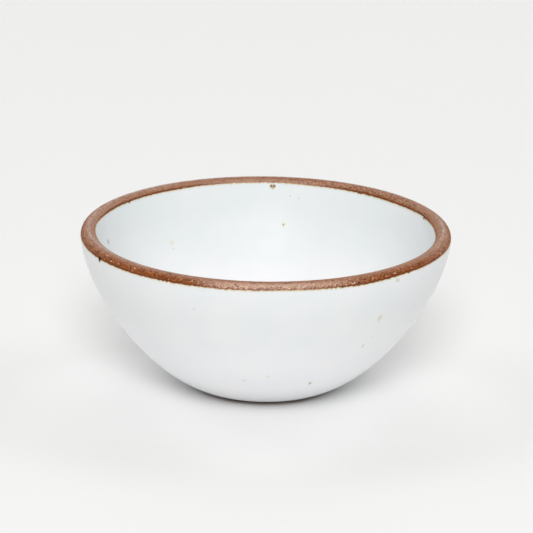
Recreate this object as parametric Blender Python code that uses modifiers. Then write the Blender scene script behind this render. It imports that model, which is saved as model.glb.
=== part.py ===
# Ice cream bowl: a turned stoneware body with a bare rounded rim, glazed inside and outside

import math

import bmesh
import bpy
from mathutils import Vector

# Overall sizes, in metres and degrees
RIM_DIAMETER = 0.127          # across the rim at its widest line
BOWL_HEIGHT = 0.056           # from the table to the top of the rim
RIM_THICKNESS = 0.0054        # clay wall where it meets the rounded rim
RIM_CROWN = 0.0022            # height of the rounding above the end of the wall
RIM_LEAN = 3.0                # inward lean of the wall just under the rim

# Outside curve of the wall, from the rim to the foot
UPPER_PULL = 0.0208           # how far the curve holds its direction below the rim
LOWER_PULL = 0.0147           # how far it holds its direction above the foot
FOOT_LEAN = 84.0              # inward lean of the wall where it reaches the foot

# Clay thickness along the wall
WALL_THICKNESS = 0.0051       # halfway down
FLOOR_THICKNESS = 0.0070      # over the foot

# Foot ring
FOOT_DIAMETER = 0.043         # outside of the flat ring that stands on the table
FOOT_WIDTH = 0.0045           # width of that flat ring
FOOT_HEIGHT = 0.0007          # end of the wall above the table
FOOT_BEVEL = 0.0010           # end of the wall outside the flat ring
RECESS_DEPTH = 0.0010         # underside inside the ring, at its rim
RECESS_BEVEL = 0.0012         # slope between the ring and the underside
RECESS_DOME = 0.0002          # extra depth of the underside at its centre

# Glaze coats, which lie in the clay flush with the bare rim
GLAZE_THICKNESS = 0.0006
GLAZE_EDGE = 0.00025          # thickness where a coat ends
GLAZE_TAPER = 0.0040          # length over which a coat thins towards its end
GLAZE_CLEARANCE = 0.0002      # between a coat and the clay
BARE_FOOT_BAND = 0.0025       # unglazed wall above the foot

# Fineness
TURN_STEPS = 64               # around the axis
WALL_STEPS = 12               # along the wall
FLOOR_STEPS = 3               # from the wall to the middle of the floor
RIM_STEPS = 10                # over the rounded rim
MERGE_DISTANCE = 0.00001
SHARP_ANGLE = 35.0

# Fired colours and finish
CLAY_COLOUR = (0.31, 0.145, 0.075, 1.0)
CLAY_ROUGHNESS = 0.8
INSIDE_COLOUR = (0.82, 0.86, 0.87, 1.0)
INSIDE_ROUGHNESS = 0.3
OUTSIDE_COLOUR = (0.80, 0.83, 0.84, 1.0)
OUTSIDE_ROUGHNESS = 0.35


# Section geometry: x is the distance from the axis, y the height

def lean_direction(lean):
    # Down the wall, leaning inwards from the vertical
    angle = math.radians(lean)
    return Vector((-math.sin(angle), -math.cos(angle)))


def outward_from(direction):
    # Square to a wall that runs down, pointing away from the axis
    return Vector((-direction.y, direction.x))


RIM_DIRECTION = lean_direction(RIM_LEAN)
RIM_OUTWARD = outward_from(RIM_DIRECTION)
FOOT_DIRECTION = lean_direction(FOOT_LEAN)


def rim_centre():
    # Middle of the rounding, so that it just reaches the rim diameter and the bowl height
    half = RIM_THICKNESS / 2
    reach = math.hypot(half * RIM_OUTWARD.x, RIM_CROWN * RIM_DIRECTION.x)
    rise = math.hypot(half * RIM_OUTWARD.y, RIM_CROWN * RIM_DIRECTION.y)
    return Vector((RIM_DIAMETER / 2 - reach, BOWL_HEIGHT - rise))


def rim_point(angle):
    # Half an ellipse on the end of the wall: 0 degrees outside, 180 inside
    across = RIM_OUTWARD * (RIM_THICKNESS / 2 * math.cos(math.radians(angle)))
    upward = -RIM_DIRECTION * (RIM_CROWN * math.sin(math.radians(angle)))
    return rim_centre() + across + upward


def foot_start():
    # End of the wall, just outside the flat ring
    return Vector((FOOT_DIAMETER / 2 + FOOT_BEVEL, FOOT_HEIGHT))


def outside_station(share):
    # A point of the outside curve and its outward direction, by the share of the way down
    top = rim_point(0)
    foot = foot_start()
    corners = (top, top + RIM_DIRECTION * UPPER_PULL, foot - FOOT_DIRECTION * LOWER_PULL, foot)
    back = 1 - share
    weights = (back ** 3, 3 * back ** 2 * share, 3 * back * share ** 2, share ** 3)
    point = sum((corner * weight for corner, weight in zip(corners, weights)), Vector((0, 0)))
    slopes = (back ** 2, 2 * back * share, share ** 2)
    legs = [after - before for before, after in zip(corners, corners[1:])]
    along = sum((leg * slope for leg, slope in zip(legs, slopes)), Vector((0, 0)))
    return point, outward_from(along.normalized())


def clay_thickness(share):
    # Smooth change through the three named thicknesses
    at_rim = (1 - share) * (1 - 2 * share)
    at_middle = 4 * share * (1 - share)
    at_floor = share * (2 * share - 1)
    return RIM_THICKNESS * at_rim + WALL_THICKNESS * at_middle + FLOOR_THICKNESS * at_floor


def inside_station(share):
    # The inside surface opposite a point of the outside, and the direction into the hollow
    point, outward = outside_station(share)
    return point - outward * clay_thickness(share), -outward


def floor_station(share):
    # The dished floor: share 1 at the end of the wall, 0 on the axis
    edge, inward = inside_station(1)
    slope = -inward.x / inward.y
    drop = slope * edge.x / 2 * (1 - share ** 2)
    return Vector((edge.x * share, edge.y - drop)), Vector((-slope * share, 1)).normalized()


def wall_shares(first, last):
    # Even steps down the wall, with the end steps cut to where the surface starts and stops
    inner = [step / WALL_STEPS for step in range(1, WALL_STEPS)]
    return [first] + [share for share in inner if first < share < last] + [last]


def rim_share(length):
    # Share of the wall that a short length takes up just below the rim
    return length / (3 * UPPER_PULL)


def foot_share(length):
    # Share of the wall that a short length takes up just above the foot
    return length / (3 * LOWER_PULL)


def outside_stations(clearance):
    # The glazed stretch of the outside, drawn in by a clearance at both ends
    last = 1 - foot_share(BARE_FOOT_BAND + clearance)
    return [outside_station(share) for share in wall_shares(rim_share(clearance), last)]


def inside_stations(clearance):
    # The whole inside from the rim down to the axis, drawn in by a clearance at the rim
    wall = [inside_station(share) for share in wall_shares(rim_share(clearance), 1)]
    return wall + [floor_station(step / FLOOR_STEPS) for step in reversed(range(FLOOR_STEPS))]


def distances(stations):
    # Length along the surface from its first station to each one
    lengths = [0.0]
    for (before, _), (after, _) in zip(stations, stations[1:]):
        lengths.append(lengths[-1] + (after - before).length)
    return lengths


def coat_depth(distance):
    # Thickness of a coat at a distance from its end
    filled = min(1.0, distance / GLAZE_TAPER)
    return GLAZE_EDGE + (GLAZE_THICKNESS - GLAZE_EDGE) * filled


def below(stations, extra, ends):
    # The surface under a coat: its stations pushed in by the coat's depth and something extra
    lengths = distances(stations)
    points = []
    for (point, outward), length in zip(stations, lengths):
        to_end = min(length, lengths[-1] - length) if ends == 2 else length
        points.append(point - outward * (coat_depth(to_end) + extra))
    return points


# Profiles, each running down its outer side

def clay_profile():
    inside = inside_stations(0)
    outside = outside_stations(0)
    points = below(inside, GLAZE_CLEARANCE, ends=1)[::-1]
    points += [rim_point(180 - 180 * step / RIM_STEPS) for step in range(RIM_STEPS + 1)]
    points += below(outside, GLAZE_CLEARANCE, ends=2)
    points += [outside[-1][0], foot_start()]
    ring = FOOT_DIAMETER / 2
    hollow = ring - FOOT_WIDTH
    points += [Vector((ring, 0)), Vector((hollow, 0))]
    points += [Vector((hollow - RECESS_BEVEL, RECESS_DEPTH)), Vector((0, RECESS_DEPTH + RECESS_DOME))]
    return points


def inside_coat_profile():
    stations = inside_stations(GLAZE_CLEARANCE)
    shown = [point for point, _ in stations]
    return shown[::-1] + below(stations, 0, ends=1)


def outside_coat_profile():
    stations = outside_stations(GLAZE_CLEARANCE)
    shown = [point for point, _ in stations]
    return shown + below(stations, 0, ends=2)[::-1]


# Blender objects

def make_material(name, colour, roughness):
    material = bpy.data.materials.new(name)
    material.use_nodes = True
    shader = material.node_tree.nodes["Principled BSDF"]
    shader.inputs["Base Color"].default_value = colour
    shader.inputs["Roughness"].default_value = roughness
    shader.inputs["Metallic"].default_value = 0.0
    return material


def make_turned(name, profile, closed, material, collection):
    # A section in the XZ plane, turned once around the Z axis
    mesh = bpy.data.meshes.new(name)
    section = bmesh.new()
    corners = [section.verts.new((point.x, 0, point.y)) for point in profile]
    for before, after in zip(corners, corners[1:]):
        section.edges.new((before, after))
    if closed:
        section.edges.new((corners[-1], corners[0]))
    section.to_mesh(mesh)
    section.free()

    turned = bpy.data.objects.new(name, mesh)
    collection.objects.link(turned)
    mesh.materials.append(material)
    screw = turned.modifiers.new("turn", "SCREW")
    screw.axis = "Z"
    screw.angle = math.tau
    screw.steps = TURN_STEPS
    screw.render_steps = TURN_STEPS
    screw.use_merge_vertices = True
    screw.merge_threshold = MERGE_DISTANCE
    evaluated = turned.evaluated_get(bpy.context.evaluated_depsgraph_get())
    solid = bpy.data.meshes.new_from_object(evaluated)
    solid.shade_smooth()
    solid.set_sharp_from_angle(angle=math.radians(SHARP_ANGLE))
    solid.name = name
    turned.modifiers.clear()
    turned.data = solid
    bpy.data.meshes.remove(mesh)
    return turned


def main():
    for existing in list(bpy.data.objects):
        bpy.data.objects.remove(existing, do_unlink=True)
    bowl = bpy.data.collections.new("ice_cream_bowl")
    bpy.context.scene.collection.children.link(bowl)
    clay = make_material("stoneware", CLAY_COLOUR, CLAY_ROUGHNESS)
    inside = make_material("inner_glaze", INSIDE_COLOUR, INSIDE_ROUGHNESS)
    outside = make_material("outer_glaze", OUTSIDE_COLOUR, OUTSIDE_ROUGHNESS)
    make_turned("stoneware_body", clay_profile(), False, clay, bowl)
    make_turned("inner_glaze", inside_coat_profile(), False, inside, bowl)
    make_turned("outer_glaze", outside_coat_profile(), True, outside, bowl)


main()
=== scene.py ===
import math
import random

import bmesh
import bpy
import numpy as np
from mathutils import Matrix, Vector, noise


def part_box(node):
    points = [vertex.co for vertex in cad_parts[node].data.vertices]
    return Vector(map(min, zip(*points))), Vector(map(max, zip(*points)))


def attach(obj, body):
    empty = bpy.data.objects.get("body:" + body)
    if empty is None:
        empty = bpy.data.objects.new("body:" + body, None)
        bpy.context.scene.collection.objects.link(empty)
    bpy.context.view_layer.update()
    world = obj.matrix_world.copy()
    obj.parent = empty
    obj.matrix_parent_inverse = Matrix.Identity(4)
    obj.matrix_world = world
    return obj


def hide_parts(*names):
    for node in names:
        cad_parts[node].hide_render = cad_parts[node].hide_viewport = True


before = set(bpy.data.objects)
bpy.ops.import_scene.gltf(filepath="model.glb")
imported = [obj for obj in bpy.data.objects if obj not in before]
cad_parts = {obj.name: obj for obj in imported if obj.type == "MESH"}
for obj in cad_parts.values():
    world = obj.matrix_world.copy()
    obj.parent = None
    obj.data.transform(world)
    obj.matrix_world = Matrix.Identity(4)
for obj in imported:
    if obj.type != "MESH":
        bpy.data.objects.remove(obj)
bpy.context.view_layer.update()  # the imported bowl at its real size, metres, foot on z = 0
millimetre = 0.001
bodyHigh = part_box("stoneware_body")[1]
print("frame loaded:", sorted(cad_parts))


# the bowl's section: x is the distance from the axis, y the height
bowlForm = {
    "rimRadius": bodyHigh.x,
    "height": bodyHigh.z,
    "rimThickness": 0.0054,   # clay wall under the rounded rim
    "rimCrown": 0.0022,       # rounding above the end of the wall
    "rimLean": 3.0,           # degrees, just under the rim
    "upperPull": 0.0208,      # how far the curve holds its direction below the rim
    "lowerPull": 0.0147,      # and above the foot
    "footLean": 84.0,         # degrees, where the wall reaches the foot
    "wallThickness": 0.0051,
    "floorThickness": 0.0070,
    "footRadius": 0.0215,
    "footWidth": 0.0045,
    "footHeight": 0.0007,
    "footBevel": 0.0010,
    "footRounding": 0.0004,
    "recessDepth": 0.0010,
    "recessBevel": 0.0012,
    "recessDome": 0.0002,
    "bareFootBand": 0.0025,   # unglazed wall above the foot
    "floorParts": 60,         # parts that the section is drawn in
    "wallParts": 300,
    "cornerParts": 4,
    "stepLength": 0.0001,     # spacing of the stored section
}


def steps(start, end, count):
    return [start + (end - start) * i / count for i in range(count + 1)]


def leanDirection(degrees):
    angle = math.radians(degrees)
    return Vector((-math.sin(angle), -math.cos(angle)))


def outwardFrom(direction):
    return Vector((-direction.y, direction.x))


def rimPoint(degrees):
    form = bowlForm
    down = leanDirection(form["rimLean"])
    out = outwardFrom(down)
    half = form["rimThickness"] / 2
    reach = math.hypot(half * out.x, form["rimCrown"] * down.x)
    rise = math.hypot(half * out.y, form["rimCrown"] * down.y)
    centre = Vector((form["rimRadius"] - reach, form["height"] - rise))
    angle = math.radians(degrees)
    return centre + out * half * math.cos(angle) - down * form["rimCrown"] * math.sin(angle)


def wallPoint(share):  # outside of the wall and its outward direction
    form = bowlForm
    top = rimPoint(0)
    foot = Vector((form["footRadius"] + form["footBevel"], form["footHeight"]))
    handles = (
        top + leanDirection(form["rimLean"]) * form["upperPull"],
        foot - leanDirection(form["footLean"]) * form["lowerPull"],
    )
    corners = (top, handles[0], handles[1], foot)
    rest = 1 - share
    weights = (rest ** 3, 3 * rest ** 2 * share, 3 * rest * share ** 2, share ** 3)
    slopes = (rest ** 2, 2 * rest * share, share ** 2)
    point = Vector((0, 0))
    along = Vector((0, 0))
    for corner, weight in zip(corners, weights):
        point += corner * weight
    for before, after, slope in zip(corners, corners[1:], slopes):
        along += (after - before) * slope
    return point, outwardFrom(along.normalized())


def insidePoint(share):  # inside of the wall, opposite wallPoint
    form = bowlForm
    point, out = wallPoint(share)
    thickness = form["rimThickness"] * (1 - share) * (1 - 2 * share)
    thickness += form["wallThickness"] * 4 * share * (1 - share)
    thickness += form["floorThickness"] * share * (2 * share - 1)
    return point - out * thickness


def floorPoint(share):  # dished floor, 0 on the axis and 1 at the wall
    edge = insidePoint(1)
    slope = 1 / math.tan(math.radians(bowlForm["footLean"]))
    return Vector((edge.x * share, edge.y - slope * edge.x / 2 * (1 - share ** 2)))


def roundedCorners(points, radius):
    smooth = [points[0]]
    for before, corner, after in zip(points, points[1:], points[2:]):
        reachIn = min(radius, (before - corner).length / 2)
        reachOut = min(radius, (after - corner).length / 2)
        start = corner + (before - corner).normalized() * reachIn
        end = corner + (after - corner).normalized() * reachOut
        for part in steps(0, 1, bowlForm["cornerParts"]):
            smooth.append(start.lerp(corner, part).lerp(corner.lerp(end, part), part))
    return smooth + [points[-1]]


def makeSection():  # from the axis inside, over the rim and round the foot to the axis below
    form = bowlForm
    stops = {}
    floorParts, wallParts = form["floorParts"], form["wallParts"]
    points = [floorPoint(i / floorParts) for i in range(floorParts)]
    points += [insidePoint(1 - i / wallParts) for i in range(wallParts)]
    stops["insideTop"] = len(points)
    points += [rimPoint(degrees) for degrees in range(180, 0, -1)]
    stops["outsideTop"] = len(points)
    points += [wallPoint(i / wallParts)[0] for i in range(wallParts + 1)]
    ring = form["footRadius"]
    hollow = ring - form["footWidth"]
    foot = [
        points[-1],
        Vector((ring, 0)),
        Vector((hollow, 0)),
        Vector((hollow - form["recessBevel"], form["recessDepth"])),
        Vector((0, form["recessDepth"] + form["recessDome"])),
    ]
    stops["wallEnd"] = len(points) - 1
    points += roundedCorners(foot, form["footRounding"])[1:]
    lengths = [0.0]
    for before, after in zip(points, points[1:]):
        lengths.append(lengths[-1] + (after - before).length)
    stops = {name: lengths[index] for name, index in stops.items()}
    stops["footBand"] = stops["wallEnd"] - form["bareFootBand"]
    stops["total"] = lengths[-1]
    even = np.arange(0, lengths[-1], form["stepLength"])
    even = np.append(even, lengths[-1])
    radii = np.interp(even, lengths, [p.x for p in points])
    heights = np.interp(even, lengths, [p.y for p in points])
    tangents = np.gradient(np.column_stack((radii, heights)), axis=0)
    tangents /= np.linalg.norm(tangents, axis=1)[:, None]
    table = {"length": even, "radius": radii, "height": heights,
             "outRadius": -tangents[:, 1], "outHeight": tangents[:, 0]}
    return table, stops


section, sectionStops = makeSection()
print("section drawn, millimetres:", {k: round(v / millimetre, 2) for k, v in sectionStops.items()})


def sectionAt(lengths, depths):  # points of the section, moved out by depths
    at = {name: np.interp(lengths, section["length"], section[name]) for name in section}
    return at["radius"] + at["outRadius"] * depths, at["height"] + at["outHeight"] * depths


def smoothStep(low, high, values):
    share = np.clip((np.asarray(values, float) - low) / (high - low), 0, 1)
    return share * share * (3 - 2 * share)


# where the coats end, as lengths along the section that change round the bowl
glazeLine = {
    "outerHeights": {         # degrees round the bowl, millimetres above the rim's widest line
        0: 0.00, 60: 0.10, 120: 0.10, 180: -0.05, 200: -0.08, 224: -0.13, 240: 0.08, 254: 0.25, 266: 0.18,
        278: 0.33, 288: 0.18, 300: -0.12, 308: 0.05, 316: 0.26, 326: 0.09, 340: 0.06, 350: -0.04},
    "innerHeights": {         # the same above the end of the inside wall
        0: 0.05, 12: 0.22, 20: 0.36, 28: 0.05, 36: -0.08, 46: 0.03, 56: 0.17, 68: 0.30, 84: 0.52, 100: 0.60,
        112: 0.50, 124: 0.33, 140: 0.40, 156: 0.50, 166: 0.65, 178: 0.95, 200: 0.70, 230: 0.40, 270: 0.35,
        310: 0.30, 340: 0.15},
    "slowSize": 0.00007,
    "slowCounts": range(3, 17),
    "quickSize": 0.00008,
    "quickCounts": range(40, 260, 7),
    "raggedSize": 0.00012,    # the outer edge is more broken than the inner one
    "raggedCounts": range(70, 290, 7),
    "footSize": 0.0003,
    "footCounts": range(2, 40, 3),
    "innerNotches": ((146.5, 0.00045), (54.3, 0.00045), (17.0, 0.00050), (232.0, 0.0003), (301.0, 0.0003)),
    "outerNotches": ((256.9, 0.00030), (258.6, 0.00024), (97.0, 0.0003), (200.0, 0.0003), (318.0, 0.0003)),
    "notchWidth": 0.0068,     # radians
    "waveShare": (0.4, 1),    # smallest and largest wave in a ripple
    "outerSeeds": (11, 12),   # slow waves, then quick ones
    "innerSeeds": (21, 22),
    "footSeed": 31,
}


def ripple(angles, seed, counts, size):  # closed wave round the bowl
    draw = random.Random(seed)
    total = np.zeros_like(angles)
    for count in counts:
        total += np.cos(count * angles + draw.uniform(0, math.tau)) * draw.uniform(*glazeLine["waveShare"])
    return total * size / math.sqrt(len(counts))


def notches(angles, places):  # short breaks where the clay shows through the glaze's edge
    total = np.zeros_like(angles)
    for degrees, depth in places:
        away = np.mod(angles - math.radians(degrees) + math.pi, math.tau) - math.pi
        total += depth * np.exp(-(away / glazeLine["notchWidth"]) ** 2)
    return total


def roundHeights(angles, heights):  # smooth closed curve through heights given by degrees
    keys = sorted(heights)
    places = np.mod(np.degrees(angles), 360)
    starts = np.searchsorted(keys, places, side="right") - 1
    values = np.array([heights[key] for key in keys] + [heights[keys[0]]])
    ends = np.array(keys + [360.0])
    share = (places - ends[starts]) / (ends[starts + 1] - ends[starts])
    share = share * share * (3 - 2 * share)
    return (values[starts] * (1 - share) + values[starts + 1] * share) * millimetre


def outerLine(angles):
    line = glazeLine
    slowSeed, quickSeed = line["outerSeeds"]
    rise = roundHeights(angles, line["outerHeights"])
    rise = rise + ripple(angles, slowSeed, line["slowCounts"], line["slowSize"])
    rise = rise + ripple(angles, quickSeed, line["raggedCounts"], line["raggedSize"])
    return sectionStops["outsideTop"] - rise + notches(angles, line["outerNotches"])


def innerLine(angles):
    line = glazeLine
    slowSeed, quickSeed = line["innerSeeds"]
    rise = roundHeights(angles, line["innerHeights"])
    rise = rise + ripple(angles, slowSeed, line["slowCounts"], line["slowSize"])
    rise = rise + ripple(angles, quickSeed, line["quickCounts"], line["quickSize"])
    return sectionStops["insideTop"] + rise - notches(angles, line["innerNotches"])


def footLine(angles):
    line = glazeLine
    return sectionStops["footBand"] + ripple(angles, line["footSeed"], line["footCounts"], line["footSize"])


turning = {
    "steps": 1080,            # faces round the axis
    "wedges": 24,             # equal wedges they are spun in
    "mergeDistance": 0.000002,
}


def linkObject(name, data):
    thing = bpy.data.objects.new(name, data)
    bpy.context.scene.collection.objects.link(thing)
    return thing


def linkShape(name, shape):  # a finished bmesh becomes an object in the scene
    mesh = bpy.data.meshes.new(name)
    shape.to_mesh(mesh)
    shape.free()
    return linkObject(name, mesh)


def sortByPlace(parts, place):  # spin leaves them in another order each run
    for index, part in enumerate(sorted(parts, key=place)):
        part.index = index
    parts.sort()


def spinRows(name, rows, closed):  # rows are (length along the section, depth) in order
    shape = bmesh.new()
    alongLayer = shape.verts.layers.float.new("along")
    depthLayer = shape.verts.layers.float.new("depth")
    radii, heights = sectionAt([row[0] for row in rows], [row[1] for row in rows])
    chain = []
    for (along, depth), radius, height in zip(rows, radii, heights):
        corner = shape.verts.new((max(radius, 0), 0, height))
        corner[alongLayer] = along
        corner[depthLayer] = depth
        chain.append(corner)
    links = [shape.edges.new(pair) for pair in zip(chain, chain[1:])]
    if closed:
        links.append(shape.edges.new((chain[-1], chain[0])))
    wedges = turning["wedges"]
    wedge = math.tau / wedges
    bmesh.ops.spin(shape, geom=chain + links, cent=(0, 0, 0), axis=(0, 0, 1), dvec=(0, 0, 0),
                   angle=wedge, steps=turning["steps"] // wedges, use_merge=False, use_duplicate=False)
    firstWedge = shape.verts[:] + shape.edges[:] + shape.faces[:]
    bmesh.ops.spin(shape, geom=firstWedge, cent=(0, 0, 0), axis=(0, 0, 1), dvec=(0, 0, 0),
                   angle=math.tau - wedge, steps=wedges - 1, use_merge=False, use_duplicate=True)
    bmesh.ops.remove_doubles(shape, verts=shape.verts, dist=turning["mergeDistance"])
    bmesh.ops.recalc_face_normals(shape, faces=shape.faces)
    sortByPlace(shape.verts, lambda corner: corner.co[:])
    sortByPlace(shape.faces, lambda face: face.calc_center_median()[:])
    return linkShape(name, shape)


def readLayer(mesh, name):
    values = np.zeros(len(mesh.vertices), np.float32)
    mesh.attributes[name].data.foreach_get("value", values)
    return values.astype(float)


def writeLayer(mesh, name, values):
    layer = mesh.attributes.get(name) or mesh.attributes.new(name, "FLOAT", "POINT")
    layer.data.foreach_set("value", np.asarray(values, np.float32))


def cornerAngles(mesh):
    places = np.zeros(len(mesh.vertices) * 3, np.float32)
    mesh.vertices.foreach_get("co", places)
    places = places.reshape(-1, 3).astype(float)
    return np.arctan2(places[:, 1], places[:, 0])


# hand-made unevenness, which only takes away so that the bowl stays in its box
unevenness = {
    "trim": 0.00008,          # room for the glaze's raised edge
    "rimDrop": 0.00004,
    "outOfRound": 0.00007,    # narrower from front to back
    "rimWaves": ((1, 0.3, 2.1), (3, 0.2, 0.0)),  # count round the rim, share and phase
    "ringDepth": 0.00003,     # turning rings on the wall
    "ringSpacing": 0.0052,
    "ringTilt": 0.6,
    "ringsStart": (0.004, 0.012),  # heights at which they come in and go out
    "ringsEnd": (0.046, 0.052),
    "axisClear": 0.001,       # corners nearer to the axis stay on it
}


def placeCorners(mesh, angles, along, depth):
    uneven = unevenness
    radii, heights = sectionAt(along, depth)
    lift = (heights / bowlForm["height"]) ** 2
    onWall = smoothStep(*uneven["ringsStart"], heights) * (1 - smoothStep(*uneven["ringsEnd"], heights))
    ringTurn = heights / uneven["ringSpacing"] * math.tau + uneven["ringTilt"] * np.sin(angles)
    rings = 0.5 - 0.5 * np.cos(ringTurn)
    radii = radii - uneven["ringDepth"] * rings * onWall
    wobble = 0.5 - 0.5 * np.cos(2 * angles)
    outside = smoothStep(sectionStops["insideTop"], sectionStops["outsideTop"], along)
    inset = (uneven["trim"] + uneven["outOfRound"] * wobble) * outside
    radii = np.maximum(radii - inset * lift * (radii > uneven["axisClear"]), 0)
    drop = 0.5
    for count, share, phase in uneven["rimWaves"]:
        drop = drop + share * np.cos(count * angles + phase)
    heights = heights - uneven["rimDrop"] * lift * drop
    places = np.column_stack((radii * np.cos(angles), radii * np.sin(angles), heights))
    mesh.vertices.foreach_set("co", places.astype(np.float32).ravel())
    mesh.update()


# clay body: bare rounded rim and foot, plain where the coats cover it
clayBody = {
    "coverDip": 0.00055,      # clay under the full coat
    "dipStart": 0.0009,       # from the glaze line
    "dipEnd": 0.0045,
    "rimMargin": 0.0010,      # fine rows reach this far past the rim
    "rimRowSpacing": 0.00024,
    "footMargin": 0.0006,
    "ringMargin": 0.0035,     # and past the flat ring of the foot
    "bareStart": (-0.0006, 0.0001),
    "grit": 0.000028,         # roughness of the bare clay
    "gritScale": 900,
    "gritFiner": (2.3, 0.6),  # second grit: scale and share of the first
    "gritTop": 1.2,           # grit that would just reach the surface
    "pitSeed": 5,
    "pitCount": 420,
    "pitRadius": (0.00022, 0.00050),
    "pitDepth": (0.00005, 0.00017),
    "pitStretch": (0.8, 1.9),  # mostly longer round the bowl
    "pitFlat": 0.2,           # share of the radius that is flat
    "footPits": 0.12,         # share of them on the foot
    "footPitStart": 0.002,    # above the end of the wall
    "rimPits": (0.0009, 0.0021),  # beyond the rim's middle, and their spread
}

# worn and fired tones of the bare rim, with painted sheen and painted shade among them: limits between which
# each comes in, or in and out again
rimTones = {
    # round the rim, by the sine or the cosine of the angle
    "aside": (0.0, 0.5),
    "front": (0.88, 1.0),
    "back": (0.84, 1.0),
    "ends": (0.78, 0.98),
    "innerEnds": (0.960, 0.992),
    "outerEnds": (0.88, 0.97),
    "shoulders": (0.40, 0.60, 0.86, 0.99),
    "backHalf": (0.25, 0.55),
    "rightHalf": (-0.10, 0.35),
    # across the rim, 0 inside and 1 outside
    "crest": (0.04, 0.24, 0.52, 0.86),
    # paler bands at the front and the back: painted sheen
    "frontBand": (0.54, 0.76, 0.90, 1.04),
    "backBand": (0.06, 0.34),
    # greyer at the two ends: painted sheen
    "endSheen": (0.22, 0.42, 0.74, 1.02),
    # deeper on the outer half of the shoulders: painted shade
    "shoulderShade": (0.57, 0.88),
    "crumb": (0.52, 0.76),
    "crumbEdge": (0.70, 0.90),
    "innerBare": (0.25, 0.45),
    "outerBare": (0.60, 0.80),
    # how far the limits move at the left and at the right
    "leftShift": {"front": (0.04, 0), "endSheen": (-0.16, -0.20, 0, 0)},
    "rightShift": {"front": (-0.05, 0), "endSheen": (0, 0, 0.08, 0.09), "shoulders": (0, 0, -0.08, -0.06)},
    # amounts
    "backSheenShare": 0.75,
    "frontCrumb": 0.8,        # of the crumbs lost at the front
    "backCrumb": 0.85,
    "outerEndBare": 0.45,
    "outerEndRight": 0.4,     # more at the right
    "crestLoss": {"back": 0.40, "front": 0.25},
    "lineLoss": {"front": 0.6, "back": 0.85, "ends": 0.8},
    # a grey ring of painted sheen round the rim
    "sheenRingWidth": 0.065,
    "sheenRing": {             # degrees round the bowl: amount, place across
        0: (1.1, 0.50), 8: (0.7, 0.51), 18: (0.1, 0.50), 50: (0.4, 0.48), 75: (0.8, 0.48),
        100: (1.4, 0.48), 150: (1.2, 0.48), 172: (1.0, 0.48), 196: (1.1, 0.48), 206: (1.3, 0.42),
        238: (1.2, 0.41), 254: (0.2, 0.41), 262: (0.0, 0.41), 318: (0.0, 0.43), 335: (0.3, 0.44),
        346: (1.0, 0.46), 360: (1.1, 0.50)},
}


def clayDip(lengths):  # how far the clay lies under the glazed surface
    clay = clayBody
    lengths = np.asarray(lengths, float)
    inner = sectionStops["insideTop"] - lengths
    outer = np.minimum(lengths - sectionStops["outsideTop"], sectionStops["footBand"] - lengths)
    under = np.maximum(inner, outer)
    return clay["coverDip"] * smoothStep(clay["dipStart"], clay["dipEnd"], under)


def ringEnd():  # past the flat ring of the foot
    return sectionStops["wallEnd"] + bowlForm["footWidth"] + clayBody["ringMargin"]


def clayRows():  # close together where the clay is bare
    clay = clayBody
    stops = sectionStops
    rimLow = stops["insideTop"] - clay["rimMargin"]
    rimHigh = stops["outsideTop"] + clay["rimMargin"]
    rimWidth = stops["outsideTop"] - stops["insideTop"] + 2 * clay["rimMargin"]
    stretches = (             # where each ends and how many rows it has
        (stops["insideTop"] - clay["dipEnd"], 6),
        (rimLow, 4),
        (rimHigh, round(rimWidth / clay["rimRowSpacing"])),
        (stops["outsideTop"] + clay["dipEnd"], 4),
        (stops["footBand"] - clay["dipEnd"], 5),
        (stops["footBand"] - clay["footMargin"], 3),
        (stops["wallEnd"], 6),
        (ringEnd(), 13),
        (stops["total"], 4),
    )
    lengths = [0.0]
    start = 0
    for end, count in stretches:
        lengths += steps(start, end, count)[1:]
        start = end
    return lengths


def rimMasks(angles, across):
    tones = rimTones
    toFront, toRight = -np.sin(angles), np.cos(angles)
    leftward = smoothStep(*tones["aside"], -toRight)
    rightward = smoothStep(*tones["aside"], toRight)

    def band(name, values):
        unmoved = (0,) * len(tones[name])
        left = tones["leftShift"].get(name, unmoved)
        right = tones["rightShift"].get(name, unmoved)
        limits = [limit + a * leftward + b * rightward for limit, a, b in zip(tones[name], left, right)]
        mask = smoothStep(limits[0], limits[1], values)
        if len(limits) > 2:
            mask = mask * (1 - smoothStep(limits[2], limits[3], values))
        return mask

    front = band("front", toFront)
    back = band("back", -toFront)
    # painted sheen, paler at the front and the back
    frontBackSheen = band("frontBand", across) * front + tones["backSheenShare"] * (1 - band("backBand", across)) * back
    # painted sheen, greyer at the two ends
    endSheen = band("endSheen", across) * band("ends", np.abs(toRight))
    # painted shade, a deeper chestnut on the outer half of the front shoulders
    shoulderShade = band("shoulderShade", across) * band("shoulders", toFront)
    crumb = band("crumb", across) * (1 - tones["frontCrumb"] * front * (1 - band("crumbEdge", across)))
    backRight = band("backHalf", -toFront) * band("rightHalf", toRight)
    # painted sheen: a grey ring round the rim, its amount and place across changing by degrees
    turned = np.degrees(angles) % 360
    amounts, places = zip(*tones["sheenRing"].values())
    greyPlace = np.interp(turned, list(tones["sheenRing"]), places)
    grey = np.exp(-((across - greyPlace) / tones["sheenRingWidth"]) ** 2)
    bareEnds = band("innerEnds", np.abs(toRight)) * (1 - band("innerBare", across))
    outerEnds = band("outerEnds", np.abs(toRight)) * band("outerBare", across)
    bareEnds = bareEnds + outerEnds * (tones["outerEndBare"] + tones["outerEndRight"] * rightward)
    crestLoss, lineLoss = tones["crestLoss"], tones["lineLoss"]
    # the crest's lighter tone is partly wear and partly painted sheen
    return {
        "crest": band("crest", across) * (1 - crestLoss["back"] * back - crestLoss["front"] * front),
        "endSheen": endSheen,
        "shoulderShade": shoulderShade,
        "lineDark": 1 - lineLoss["front"] * front - lineLoss["back"] * back - lineLoss["ends"] * bareEnds,
        "frontBackSheen": frontBackSheen,
        "crumb": np.maximum(crumb, tones["backCrumb"] * backRight),
        "sheen": grey * np.interp(turned, list(tones["sheenRing"]), amounts),
    }


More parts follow.
